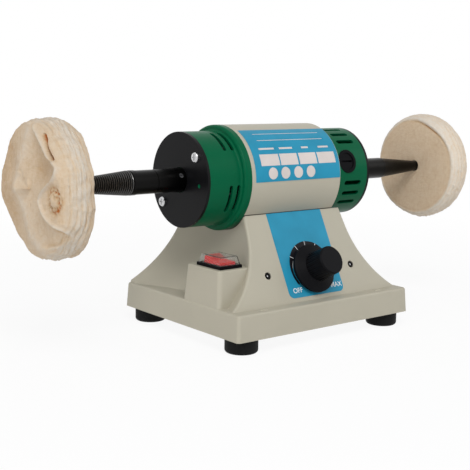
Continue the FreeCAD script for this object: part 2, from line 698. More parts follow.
def ring_slot(centre, middle):
    """The tool that cuts one round-ended slot round the left cap."""
    width = "dim.ring_slot_width"
    base = ("%s - %s / 2" % (centre, width), "0", "dim.axis_height")
    body = new_body("slot_body", base, (AXIS_X, "90 - (%s) + dim.ring_slot_span / 2" % middle))
    corners = rectangle("0", SLOT_FLOOR, width, "dim.cap_radius + dim.cap_wall")
    revolve(body, corners, angle="dim.ring_slot_span")
    angles = ["(%s %s dim.ring_slot_span / 2)" % (middle, sign) for sign in ("-", "+")]
    return join("ring_slot", [body] + [slot_end(centre, angle, width) for angle in angles])


def right_cap():
    """Green cap with slots that run along it and a hole for each brush holder."""
    body = new_body("right_cap_body", ("0", "0", "dim.axis_height"))
    revolve(body, cap_outline(RIGHT, False))
    tools = plate_screw_holes(RIGHT, "right")
    for half in ("0", "180"):
        for step in range(3):
            for sign in ("+", "-"):
                turn = "(dim.long_slot_turn + dim.long_slot_step * %d)" % step
                angle = "(dim.vent_angle + %s %s %s)" % (half, sign, turn)
                tools.append(long_slot(angle))
        angle = "(dim.vent_angle + %s)" % half
        base = ("dim.brush_place",) + from_axis(angle, SLOT_FLOOR)
        turn = (AXIS_X, "90 - %s" % angle)
        radius = "dim.brush_tube_radius + dim.run_gap"
        tools.append(rod("brush_hole", radius, "dim.cap_wall * 3", base, turn))
    node(cut("right_cap", body, gather("right_cap_tools", tools)), "cap_right")


def long_slot(angle):
    """The tool that cuts one round-ended slot along the right cap."""
    width = "dim.long_slot_width"
    straight = "(dim.long_slot_length - %s)" % width
    back = "-%s * cos(%s) - %s / 2 * sin(%s)" % (SLOT_FLOOR, angle, width, angle)
    up = "dim.axis_height + %s * sin(%s) - %s / 2 * cos(%s)" % (SLOT_FLOOR, angle, width, angle)
    base = ("dim.long_slot_middle - %s / 2" % straight, back, up)
    bar = block("slot_bar", (straight, width, "dim.cap_wall * 3"), base, (AXIS_X, "90 - %s" % angle))
    places = ["dim.long_slot_middle %s %s / 2" % (sign, straight) for sign in ("-", "+")]
    return join("long_slot", [bar] + [slot_end(along, angle, width) for along in places])


def end_plate(side, name, peep):
    """A black disc over the cap's end, with the spindle's hole and two screw holes."""
    outer = "dim.motor_half" if side == RIGHT else "-" + PLATE_IN
    body = new_body(name, (outer, "0", "dim.axis_height"))
    sketch = sketch_on(body, "YZ_Plane")
    ring(sketch, ("0", "0"), "dim.cap_radius")
    ring(sketch, ("0", "0"), "dim.plate_bore")
    for angle in PLATE_SCREW_ANGLES:
        centre = ("-dim.plate_screw_out * cos(%s)" % angle, "dim.plate_screw_out * sin(%s)" % angle)
        ring(sketch, centre, "dim.pan_shank")
    if peep:
        centre = ("-dim.peep_out * cos(dim.peep_angle)", "dim.peep_out * sin(dim.peep_angle)")
        ring(sketch, centre, "dim.peep_radius")
    extrude(body, sketch, "dim.plate_thickness", reverse=True)
    node(body, name)


def plate_screws(side, name):
    """Two pan head screws through an end plate into the cap."""
    turn = (AXIS_Y, "90" if side == RIGHT else "-90")
    screws = []
    for angle in PLATE_SCREW_ANGLES:
        base = ("%s(dim.motor_half + dim.pan_height)" % side,) + from_axis(angle, "dim.plate_screw_out")
        head = ("dim.pan_head", "dim.pan_height", "dim.pan_shank")
        screws.append(screw("plate_screw", *head, "dim.plate_thickness + dim.cap_end", base, turn))
    node(gather(name, screws), name)


# Bearings

def bearing(side, name):
    """Outer race, inner race, and the balls joined by their cage."""
    low, high = sorted((side + SEAT_IN, side + END_IN), key=number)
    middle = side + BEARING_X
    axis = (middle, "0", "dim.axis_height")
    across = (AXIS_Y, "90")
    groove = "dim.ball_radius + dim.run_gap"
    outer = on_axis(name + "_outer_ring", rectangle(low, "dim.race_outer", high, "dim.bearing_radius"))
    inner = on_axis(name + "_inner_ring", rectangle(low, "dim.shaft_radius", high, "dim.race_inner"))
    sizes = {"Radius1": "dim.ball_pitch", "Radius2": groove}
    track = solid("Part::Torus", name + "_track", sizes, axis, across)
    node(cut(name + "_outer", outer, track), name + "_outer")
    node(cut(name + "_inner", inner, track), name + "_inner")
    cage = on_axis(
        name + "_cage",
        rectangle(
            middle + " - dim.cage_half",
            "dim.ball_pitch - dim.cage_thickness / 2",
            middle + " + dim.cage_half",
            "dim.ball_pitch + dim.cage_thickness / 2",
        ),
    )
    balls = [cage]
    for index in range(int(number("dim.ball_count"))):
        angle = "(%d * 360 / dim.ball_count)" % index
        base = (middle,) + from_axis(angle, "dim.ball_pitch")
        balls.append(solid("Part::Sphere", name + "_ball", {"Radius": "dim.ball_radius"}, base))
    node(join(name + "_balls", balls), name + "_balls")


# Stator

def stator():
    """Ring with two poles, and a coil round each pole's neck."""
    length = "dim.stack_half * 2"
    start = ("-dim.stack_half", "0", "dim.axis_height")
    along = (AXIS_Y, "90")
    half = "dim.stack_half"
    ring_solid = on_axis("stator_ring", rectangle("-" + half, "dim.pole_radius", half, SPIGOT))
    window = on_axis("stator_window", rectangle("-" + half, SHOE_BACK, half, YOKE_BORE))
    neck = block(
        "stator_neck",
        (length, "dim.neck_half * 2", "dim.tube_radius * 2"),
        ("-dim.stack_half", "-dim.neck_half", "dim.axis_height - dim.tube_radius"),
    )
    gap = block(
        "stator_gap",
        (length, SHOE_BACK + " * 2", "dim.pole_gap_half * 2"),
        ("-dim.stack_half", "-" + SHOE_BACK, "dim.axis_height - dim.pole_gap_half"),
    )
    holes = [
        rod(
            "stator_hole",
            "dim.motor_shank",
            "dim.motor_grip + dim.fit_gap",
            (side + "dim.motor_screw_side", "0", "dim.axis_height - %s" % SPIGOT),
        )
        for side in (LEFT, RIGHT)
    ]
    tools = gather("stator_tools", [cut("stator_windows", window, neck), gap] + holes)
    node(cut("stator", ring_solid, tools), "stator_core")
    coils = []
    reach = "(dim.stack_half + dim.coil_overhang)"
    for low in ("dim.axis_height + dim.coil_gap", "dim.axis_height - dim.tube_radius - dim.coil_gap"):
        sleeve = on_axis(
            "coil_sleeve",
            rectangle("-" + reach, SHOE_BACK + " + dim.coil_gap", reach, YOKE_BORE + " - dim.coil_gap"),
        )
        side = block(
            "coil_side",
            (reach + " * 2", "dim.tube_radius * 2", "dim.tube_radius"),
            ("-" + reach, "-dim.tube_radius", low),
        )
        eye_half = "(dim.neck_half + dim.coil_gap)"
        eye = block(
            "coil_eye",
            (length + " + dim.coil_gap * 2", eye_half + " * 2", "dim.tube_radius * 2"),
            ("-dim.stack_half - dim.coil_gap", "-" + eye_half, "dim.axis_height - dim.tube_radius"),
        )
        coils.append(cut("coil", common("coil_arch", sleeve, side), eye))
    node(gather("coils", coils), "field_coils")


# Brush gear

def brush_gear(angle, name):
    """Holder tube, carbon brush, spring and screw cap, in line towards the commutator."""
    base = ("dim.brush_place",) + from_axis(angle)
    turn = (AXIS_X, "90 - %s" % angle)
    face = "(dim.cap_radius - dim.fit_gap)"
    tube_length = "%s - dim.brush_tube_foot" % face
    tube = new_body(name + "_tube_body", base, turn)
    disc = sketch_on(tube, "XY_Plane", "dim.brush_tube_foot")
    ring(disc, ("0", "0"), "dim.brush_tube_radius")
    extrude(tube, disc, tube_length)
    way = sketch_on(tube, "XY_Plane", "dim.brush_tube_foot")
    half_along, half_across = "dim.brush_along / 2 + dim.fit_gap", "dim.brush_across / 2 + dim.fit_gap"
    outline(way, rectangle("-(%s)" % half_along, "-(%s)" % half_across, half_along, half_across))
    extrude(tube, way, tube_length, "Pocket", reverse=True)
    seat = sketch_on(tube, "XY_Plane", face)
    ring(seat, ("0", "0"), "dim.brush_cap_radius")
    extrude(tube, seat, "dim.brush_cap_thickness + dim.brush_cap_sink", "Pocket")
    node(tube, name + "_holder")
    cap = new_body(name + "_cap_body", base, turn)
    cap_top = "(%s - dim.brush_cap_sink)" % face
    disc = sketch_on(cap, "XY_Plane", "%s - dim.brush_cap_thickness" % cap_top)
    ring(disc, ("0", "0"), "dim.brush_cap_radius - dim.run_gap")
    extrude(cap, disc, "dim.brush_cap_thickness")
    coin = sketch_on(cap, "XY_Plane", cap_top)
    outline(coin, rectangle("-dim.coin_reach", "-dim.coin_slot / 2", "dim.coin_reach", "dim.coin_slot / 2"))
    extrude(cap, coin, "dim.brush_cap_thickness / 2", "Pocket")
    node(cap, name + "_cap")
    foot = "dim.commutator_radius + dim.run_gap"
    carbon = new_body(name + "_body", base, turn)
    end = sketch_on(carbon, "XY_Plane", foot)
    half_along, half_across = "dim.brush_along / 2", "dim.brush_across / 2"
    outline(end, rectangle("-" + half_along, "-" + half_across, half_along, half_across))
    extrude(carbon, end, "dim.brush_length")
    node(carbon, name)
    sleeve = new_body(name + "_spring_body", base, turn)
    end = sketch_on(sleeve, "XY_Plane", "%s + dim.brush_length" % foot)
    ring(end, ("0", "0"), "dim.brush_spring_radius")
    ring(end, ("0", "0"), "dim.brush_spring_radius - dim.brush_spring_wire")
    extrude(sleeve, end, "%s - dim.brush_cap_thickness - (%s + dim.brush_length)" % (cap_top, foot))
    node(sleeve, name + "_spring")


# Rotor

def armature():
    """Shaft, slotted core, windings, commutator and fan."""
    half = [("dim.shaft_step", "dim.shaft_body"), ("dim.shaft_step", "dim.shaft_radius")]
    half += [("dim.shaft_half", "dim.shaft_radius"), ("dim.shaft_half", "0")]
    shaft = [("-" + along, out) for along, out in half[::-1]] + half
    node(on_axis("armature_shaft", shaft), "armature_shaft")

    core = new_body("core_body", ("0", "0", "dim.axis_height"))
    face = sketch_on(core, "YZ_Plane")
    ring(face, ("0", "0"), CORE_RADIUS)
    ring(face, ("0", "0"), "dim.shaft_body")
    extrude(core, face, "dim.stack_half * 2", both=True)
    slot = sketch_on(core, "YZ_Plane")
    half = "dim.tooth_slot_width / 2"
    outline(slot, rectangle("-" + half, "dim.tooth_slot_floor", half, CORE_RADIUS + " + dim.air_gap"))
    cutter = extrude(core, slot, "dim.stack_half * 2 + dim.air_gap", "Pocket", both=True)
    repeat_round(core, cutter, slot, "dim.tooth_slots")
    node(core, "armature_core")

    wire = new_body("winding_body", ("0", "0", "dim.axis_height"))
    near, far = "dim.stack_half + dim.coil_gap", "dim.stack_half + dim.winding_overhang"
    inner = "dim.shaft_body + dim.coil_gap"
    ends = sketch_on(wire, "XZ_Plane")
    outline(ends, rectangle(near, inner, far, "dim.winding_radius"))
    outline(ends, rectangle("-(%s)" % far, inner, "-(%s)" % near, "dim.winding_radius"))
    turn = wire.newObject("PartDesign::Revolution", "winding_turn")
    turn.Profile = ends
    turn.ReferenceAxis = (ends, ["H_Axis"])
    turn.Angle = 360
    side = sketch_on(wire, "YZ_Plane")
    half = "dim.tooth_slot_width / 2 - dim.coil_gap / 2"
    foot = "dim.tooth_slot_floor + dim.coil_gap"
    outline(side, rectangle("-(%s)" % half, foot, half, "dim.winding_radius"))
    bar = extrude(wire, side, "(%s) * 2" % far, both=True)
    repeat_round(wire, bar, side, "dim.tooth_slots")
    node(wire, "armature_windings")

    copper = new_body("commutator_body", ("dim.brush_place", "0", "dim.axis_height"))
    face = sketch_on(copper, "YZ_Plane")
    ring(face, ("0", "0"), "dim.commutator_radius")
    ring(face, ("0", "0"), "dim.shaft_radius")
    extrude(copper, face, "dim.commutator_length", both=True)
    gap = sketch_on(copper, "YZ_Plane")
    floor = "dim.commutator_radius - dim.bar_gap_depth"
    half = "dim.bar_gap / 2"
    outline(gap, rectangle("-" + half, floor, half, "dim.commutator_radius + dim.bar_gap_depth"))
    cutter = extrude(copper, gap, "dim.commutator_length + dim.bar_gap", "Pocket", both=True)
    repeat_round(copper, cutter, gap, "dim.commutator_bars")
    node(copper, "commutator")

    fan = new_body("fan_body", ("-dim.fan_start", "0", "dim.axis_height"))
    hub = [
        ("0", "dim.shaft_radius"),
        ("-dim.fan_width", "dim.shaft_radius"),
        ("-dim.fan_width", "dim.fan_hub"),
        ("-dim.fan_disc", "dim.fan_hub"),
        ("-dim.fan_disc", "dim.fan_radius"),
        ("0", "dim.fan_radius"),
    ]
    revolve(fan, hub)
    root = sketch_on(fan, "XZ_Plane")
    blade_foot = "dim.fan_hub + dim.fan_disc"
    outline(root, rectangle("-dim.fan_width", blade_foot, "-dim.fan_disc / 2", "dim.fan_radius"))
    blade = extrude(fan, root, "dim.fan_disc", both=True)
    repeat_round(fan, blade, root, "dim.fan_blades", "H_Axis")
    node(fan, "cooling_fan")


# Spindles and wheels

SPINDLE_ROOT = "dim.motor_half - dim.spindle_root"


def left_spindle():
    """Cylinder with a low hub, a fine groove and a collar, then the taper that the wheel screws onto."""
    hub_start, hub = "dim.motor_half + dim.hub_gap", "dim.spindle_radius + dim.hub_rise"
    groove_low = "dim.ring_groove_place - dim.ring_groove / 2"
    groove_high = "dim.ring_groove_place + dim.ring_groove / 2"
    collar = "dim.spindle_radius + dim.collar_rise"
    corners = [
        (SPINDLE_ROOT, "dim.shaft_radius"),
        (SPINDLE_ROOT, "dim.spindle_radius"),
        (hub_start, "dim.spindle_radius"),
        (hub_start, hub),
        (hub_start + " + dim.hub_width", hub),
        (hub_start + " + dim.hub_width", "dim.spindle_radius"),
        (groove_low, "dim.spindle_radius"),
        (groove_low, "dim.spindle_radius - dim.ring_groove"),
        (groove_high, "dim.spindle_radius - dim.ring_groove"),
        (groove_high, "dim.spindle_radius"),
        ("dim.thread_start - dim.collar_width", "dim.spindle_radius"),
        ("dim.thread_start - dim.collar_width", collar),
        ("dim.thread_start", collar),
        ("dim.thread_start", "dim.thread_radius"),
        ("dim.thread_end", "dim.thread_tip"),
        ("dim.thread_end", "0"),
        ("dim.shaft_half", "0"),
        ("dim.shaft_half", "dim.shaft_radius"),
    ]
    left = on_axis("left_spindle", [("-(%s)" % along, out) for along, out in corners])
    node(cut("left_spindle_drilled", left, set_screw_hole(LEFT)), "spindle_left")


def right_spindle():
    """Cylinder, then a smooth taper."""
    corners = [
        (SPINDLE_ROOT, "dim.shaft_radius"),
        (SPINDLE_ROOT, "dim.spindle_radius"),
        ("dim.taper_start", "dim.spindle_radius"),
        ("dim.taper_start", "dim.taper_radius"),
        ("dim.taper_end", "dim.taper_tip"),
        ("dim.taper_end", "0"),
        ("dim.shaft_half", "0"),
        ("dim.shaft_half", "dim.shaft_radius"),
    ]
    right = on_axis("right_spindle", corners)
    node(cut("right_spindle_drilled", right, set_screw_hole(RIGHT)), "spindle_right")


SET_SCREW_TURN = (AXIS_X, "90 - dim.set_screw_angle")


def set_screw_point(side, out):
    """A point on a set screw's axis, out from the spindle axis."""
    return ("%s(dim.motor_half + dim.set_screw_out)" % side,) + from_axis("dim.set_screw_angle", out)


def set_screw_hole(side):
    """A hole through a spindle's wall, down to the shaft."""
    base = set_screw_point(side, "dim.shaft_radius - dim.ring_groove")
    return rod("set_hole", "dim.set_screw_radius + dim.run_gap", "dim.spindle_radius", base, SET_SCREW_TURN)


def spindle_screws():
    """A set screw in each spindle, screwed down onto the shaft."""
    screws = []
    top = "dim.spindle_radius - dim.set_screw_sink"
    for side in (LEFT, RIGHT):
        body = new_body("set_screw_body", set_screw_point(side, top), SET_SCREW_TURN)
        disc = sketch_on(body, "XY_Plane")
        ring(disc, ("0", "0"), "dim.set_screw_radius")
        extrude(body, disc, "%s - dim.shaft_radius" % top, reverse=True)
        key = sketch_on(body, "XY_Plane")
        outline(key, six_sides("dim.set_screw_key"))
        extrude(body, key, "dim.recess_depth", "Pocket")
        screws.append(body)
    node(gather("spindle_screws", screws), "spindle_screws")


def wheel(side, word, taper):
    """A cotton wheel with a rounded rim, pushed onto its taper."""
    near, width, radius = ("dim.%s_wheel_%s" % (word, what) for what in ("near", "width", "radius"))
    name = "wheel_" + word
    start, end, wide, tip = taper
    far = "(%s + %s)" % (near, width)
    slope = "(%s - %s) / (%s - %s)" % (wide, tip, end, start)
    mouth = "%s - (%s - %s) * %s + dim.run_gap" % (wide, near, start, slope)
    bend = "dim.wheel_round"
    low, high = "(%s + %s)" % (near, bend), "(%s - %s)" % (far, bend)
    shoulder = "(%s - %s)" % (radius, bend)
    floor = "(%s + dim.run_gap)" % end
    corners = [
        (near, mouth),
        (near, shoulder, low, shoulder),
        (low, radius),
        (high, radius, high, shoulder),
        (far, shoulder),
        (far, "0"),
        (floor, "0"),
        (floor, "%s + dim.run_gap" % tip),
    ]
    mirrored = []
    for corner in corners:
        point = ["%s(%s)" % (side, corner[0]), corner[1]]
        if len(corner) > 2:
            point += ["%s(%s)" % (side, corner[2]), corner[3]]
        mirrored.append(tuple(point))
    node(on_axis(name + "_body", mirrored), name)


# Pedestal

def scoop(side, grow, tag):
    """A barrel beside the pedestal that hollows its side wall, seen from above and from the front."""
    centre = "(dim.scoop_radius - dim.scoop_bend)"
    low = "(dim.scoop_level - dim.scoop_reach)"
    bend = "(dim.scoop_bend + %s)" % grow
    wide = "(%s + %s)" % (centre, bend)
    foot = "(%s + sqrt(%s ^ 2 - (dim.scoop_level - %s) ^ 2))" % (centre, bend, low)
    corners = [
        ("0", low),
        (foot, low, centre, "dim.scoop_level"),
        (wide, "dim.scoop_level"),
        (wide, "dim.tower_top + dim.wall * 3"),
        ("0", "dim.tower_top + dim.wall * 3"),
    ]
    base = ("dim.stand_middle %s dim.scoop_far" % side, "0", "0")
    return turned("scoop_" + tag, corners, base, (AXIS_Z, "180" if side == "-" else "0"))


def tower(inset, low, reach, tag):
    """The tower between its sloped panels, its hollow sides and the motor's cradle."""
    front_foot = "-(dim.panel_top_out + (dim.panel_top_high - %s) * tan(dim.panel_lean))" % low
    front_top = "-(dim.panel_top_out - (dim.tower_top - dim.panel_top_high) * tan(dim.panel_lean))"
    rear_foot = "dim.rear_out + (dim.plinth_high - %s) * tan(dim.rear_lean)" % low
    rear_top = "dim.rear_out - (dim.tower_top - dim.plinth_high) * tan(dim.rear_lean)"
    front_in = "%s / cos(dim.panel_lean)" % inset
    rear_in = "%s / cos(dim.rear_lean)" % inset
    body = new_body("tower_body_" + tag, ("dim.stand_middle", "0", "0"))
    side = sketch_on(body, "YZ_Plane")
    outline(
        side,
        [
            ("%s + %s" % (front_foot, front_in), low),
            ("%s - %s" % (rear_foot, rear_in), low),
            ("%s - %s" % (rear_top, rear_in), "dim.tower_top"),
            ("%s + %s" % (front_top, front_in), "dim.tower_top"),
        ],
    )
    extrude(body, side, reach, both=True)
    tools = [scoop(side_sign, inset, tag) for side_sign in ("-", "+")]
    tools.append(
        rod(
            "cradle_" + tag,
            "%s + %s" % (CRADLE, inset),
            "dim.plinth_width * 2",
            ("-dim.plinth_width", "0", "dim.axis_height"),
            (AXIS_Y, "90"),
        )
    )
    return cut("tower_" + tag, body, gather("tower_tools_" + tag, tools))


def plinth():
    """The plinth with drafted walls and rounded edges."""
    body = new_body("plinth_body", ("dim.stand_middle", "0", "dim.plinth_low"))
    foot = sketch_on(body, "XY_Plane")
    half_wide, half_deep = "dim.plinth_width / 2", "dim.plinth_depth / 2"
    outline(foot, rectangle("-" + half_wide, "-" + half_deep, half_wide, half_deep))
    pad = extrude(body, foot, "dim.plinth_high - dim.plinth_low", draft="-dim.plinth_draft")
    height = number("dim.plinth_high - dim.plinth_low")
    corners = round_edges(body, pad, lambda edge: edge.BoundBox.ZLength > height / 2, "dim.plinth_corner")
    round_edges(body, corners, lambda edge: edge.BoundBox.ZMin > height - 0.01, "dim.plinth_edge")
    return body


def switch_box():
    """The box on the left side that carries the switch."""
    middle = "dim.stand_middle - (dim.box_far + dim.box_near) / 2"
    base = (middle, "-(dim.box_front + dim.box_rear) / 2", "dim.plinth_high - dim.wall / 2")
    body = new_body("box_body", base)
    foot = sketch_on(body, "XY_Plane")
    height = "(dim.box_high - dim.plinth_high + dim.wall / 2)"
    spread = "%s * tan(dim.box_draft)" % height
    half_wide = "((dim.box_far - dim.box_near) / 2 + %s)" % spread
    half_deep = "((dim.box_front - dim.box_rear) / 2 + %s)" % spread
    outline(foot, rectangle("-" + half_wide, "-" + half_deep, half_wide, half_deep))
    pad = extrude(body, foot, height, draft="-dim.box_draft")
    top = number(height)
    upright = round_edges(body, pad, lambda edge: edge.BoundBox.ZLength > top / 2, "dim.box_corner")
    round_edges(body, upright, lambda edge: edge.BoundBox.ZMin > top - 0.01, "dim.box_round")
    return body


def screw_posts(tag, radius, low, length):
    """An upright rod at each foot's centre."""
    posts = []
    for across in ("-", "+"):
        for deep in ("-", "+"):
            base = (
                "dim.stand_middle %s (dim.plinth_width / 2 - dim.foot_inset)" % across,
                "%s (dim.plinth_depth / 2 - dim.foot_inset)" % deep,
                low,
            )
            posts.append(rod(tag, radius, length, base))
    return posts


PLINTH_BORE_TOP = "(dim.plinth_high - dim.wall)"


def pedestal():
    """The hollow casting: plinth, tower, switch box, nubs, screw posts and every hole."""
    outside = [plinth(), rounded_tower(), switch_box()]
    for side in ("-", "+"):
        base = ("dim.stand_middle %s dim.nub_side" % side, "-dim.nub_out", "dim.plinth_high")
        sizes = {"Radius1": "dim.nub_rise", "Radius2": "dim.nub_half_long", "Radius3": "dim.nub_half_deep"}
        outside.append(solid("Part::Ellipsoid", "nub", sizes, base))
    inner_width = "dim.plinth_width - dim.plinth_wall * 2"
    inner_depth = "dim.plinth_depth - dim.plinth_wall * 2"
    below = "dim.plinth_low - dim.wall"
    room = block(
        "plinth_room",
        (inner_width, inner_depth, "%s - (%s)" % (PLINTH_BORE_TOP, below)),
        ("dim.stand_middle - (%s) / 2" % inner_width, "-(%s) / 2" % inner_depth, below),
    )
    low = "(dim.plinth_high - dim.wall * 2)"
    upper_room = tower("dim.wall", low, "(dim.tower_half - dim.wall) * 2", "inside")
    box_room = block(
        "box_room",
        (
            "dim.box_far - dim.box_near",
            "dim.box_front - dim.box_rear - dim.wall * 2",
            "dim.box_high - dim.wall - %s" % low,
        ),
        ("dim.stand_middle - dim.box_far + dim.wall", "-dim.box_front + dim.wall", low),
    )
    rooms = join("pedestal_rooms", [room, upper_room, box_room])
    shell = cut("pedestal_shell", join("pedestal_outside", outside), rooms)
    post_low = "(dim.plinth_low + dim.base_plate)"
    post_length = "%s - %s + dim.wall / 2" % (PLINTH_BORE_TOP, post_low)
    posts = screw_posts("post", "dim.post_radius", post_low, post_length)
    holes = screw_posts("post_hole", "dim.foot_shank", post_low, "dim.foot_grip + dim.fit_gap")
    holes += panel_holes() + motor_screw_holes() + [switch_hole(), gland_hole()]
    casting = join("pedestal_posts", [shell] + posts)
    node(cut("pedestal", casting, gather("pedestal_holes", holes)), "pedestal")


def rounded_tower():
    """The tower with its four long ridges rounded, where a hollow side meets a sloped panel."""
    sharp = tower("0", PLINTH_BORE_TOP, "dim.tower_half * 2", "outside")
    doc.recompute()
    ridges = []
    for face in sharp.Shape.Faces:
        flat = face.Surface.TypeId == "Part::GeomPlane"
        if flat and abs(face.Surface.Axis.y) > 0.1 and abs(face.Surface.Axis.z) > 0.1:
            ridges += [edge for edge in face.Edges if edge.Curve.TypeId != "Part::GeomLine"]
    smooth = sharp.Shape.makeFillet(number("dim.ridge_round"), ridges)
    smooth.fix(0.001, 0.001, 0.01)
    rounded = doc.addObject("Part::Feature", "tower_rounded")
    rounded.Shape = smooth
    return rounded


def panel_holes():
    """Holes through the panel for the potentiometer and the two socket screws."""
    tools = []

    def drill(radius, length, side, depth):
        base = panel_point(side, "dim.knob_down", "-(%s)" % depth)
        tools.append(rod("panel_hole", radius, length, base, PANEL_TURN))

    drill("dim.pot_bush_radius + dim.fit_gap", "dim.wall * 3", "0", "dim.wall * 2")
    for side in ("-dim.panel_screw_side", "dim.panel_screw_side"):
        drill("dim.socket_shank", "dim.wall * 3", side, "dim.wall * 2")
        drill("dim.socket_head + dim.fit_gap * 3", "dim.wall", side, "dim.socket_sink")
    return tools


def motor_screw_holes():
    """Holes up through the cradle."""
    return [
        rod(
            "cradle_hole",
            "dim.motor_shank + dim.fit_gap",
            "dim.wall * 3",
            (side + "dim.motor_screw_side", "0", "%s - dim.wall" % CRADLE_LOW),
        )
        for side in (LEFT, RIGHT)
    ]


SWITCH_BASE = ("dim.stand_middle - dim.switch_side", "-dim.switch_out", "dim.box_high")


def switch_block(name, width, length, height, low):
    """A block centred on the switch, from low to low plus height above the box's top."""
    base = (
        "%s - (%s) / 2" % (SWITCH_BASE[0], width),
        "%s - (%s) / 2" % (SWITCH_BASE[1], length),
        "%s + (%s)" % (SWITCH_BASE[2], low),
    )
    return block(name, (width, length, height), base)


SWITCH_BODY = ("(dim.bezel_width - dim.bezel_rim * 2)", "(dim.bezel_length - dim.bezel_rim * 2)")


def switch_hole():
    """The cut-out in the box's top."""
    width, length = ("%s + dim.fit_gap * 2" % size for size in SWITCH_BODY)
    return switch_block("switch_hole", width, length, "dim.wall * 3", "-dim.wall * 2")


def gland_hole():
    """The cord grommet's hole in the rear wall."""
    base = ("dim.stand_middle", "dim.plinth_depth / 2 - dim.wall * 3", "dim.gland_high")
    return rod("gland_hole", "dim.gland_neck", "dim.wall * 4", base, (AXIS_X, "-90"))


def underside():
    """Bottom plate, feet, foot screws and the cord grommet."""
    gap = "dim.fit_gap * 3"
    width = "(dim.plinth_width - dim.plinth_wall * 2 - (%s) * 2)" % gap
    depth = "(dim.plinth_depth - dim.plinth_wall * 2 - (%s) * 2)" % gap
    sheet_metal = block(
        "bottom_sheet",
        (width, depth, "dim.base_plate"),
        ("dim.stand_middle - %s / 2" % width, "-%s / 2" % depth, "dim.plinth_low"),
    )
    below = "dim.plinth_low - dim.wall"
    holes = screw_posts("sheet_hole", "dim.foot_shank + dim.fit_gap", below, "dim.wall * 3")
    node(cut("bottom_plate", sheet_metal, gather("sheet_holes", holes)), "bottom_plate")
    bend, rim = "dim.foot_round", "dim.foot_radius"
    corners = [
        ("dim.foot_recess", "0"),
        ("%s - %s" % (rim, bend), "0", "%s - %s" % (rim, bend), bend),
        (rim, bend),
        (rim, "dim.plinth_low"),
        ("dim.foot_shank + dim.fit_gap", "dim.plinth_low"),
        ("dim.foot_shank + dim.fit_gap", "dim.foot_recess_depth"),
        ("dim.foot_recess", "dim.foot_recess_depth"),
    ]
    screws = []
    for across, left_right in (("-", "left"), ("+", "right")):
        for deep, front_rear in (("-", "front"), ("+", "rear")):
            middle = "dim.stand_middle %s (dim.plinth_width / 2 - dim.foot_inset)" % across
            back = "%s (dim.plinth_depth / 2 - dim.foot_inset)" % deep
            name = "foot_%s_%s" % (front_rear, left_right)
            node(turned(name, corners, (middle, back, "0")), name)
            base = (middle, back, "dim.foot_recess_depth - dim.foot_head_height")
            reach = "dim.plinth_low - dim.foot_recess_depth + dim.base_plate + dim.foot_grip"
            head = ("dim.foot_head", "dim.foot_head_height", "dim.foot_shank")
            screws.append(screw("foot_screw", *head, reach, base, (AXIS_X, "180")))
    node(gather("foot_screws", screws), "foot_screws")
    gap = "dim.plinth_wall + dim.fit_gap * 2"
    corners = [
        ("dim.gland_bore", "dim.gland_lip"),
        ("dim.gland_flange", "dim.gland_lip"),
        ("dim.gland_flange", "0"),
        ("dim.gland_neck", "0"),
        ("dim.gland_neck", "-(%s)" % gap),
        ("dim.gland_flange", "-(%s)" % gap),
        ("dim.gland_flange", "-(%s + dim.gland_lip)" % gap),
        ("dim.gland_bore", "-(%s + dim.gland_lip)" % gap),
    ]
    base = ("dim.stand_middle", "dim.plinth_depth / 2", "dim.gland_high")
    node(turned("gland", corners, base, (AXIS_X, "-90")), "cord_grommet")


def motor_screws():
    """Two screws from inside the pedestal, up through the cradle into the stator ring."""
    screws = []
    for side in (LEFT, RIGHT):
        base = (side + "dim.motor_screw_side", "0", "%s - dim.motor_head_height" % CRADLE_LOW)
        reach = "dim.wall + dim.cradle_gap + dim.tube_wall + dim.fit_gap + dim.motor_grip"
        head = ("dim.motor_head", "dim.motor_head_height", "dim.motor_shank")
        screws.append(screw("motor_screw", *head, reach, base, (AXIS_X, "180"), True))
    node(gather("motor_screws", screws), "motor_screws")


# Switch

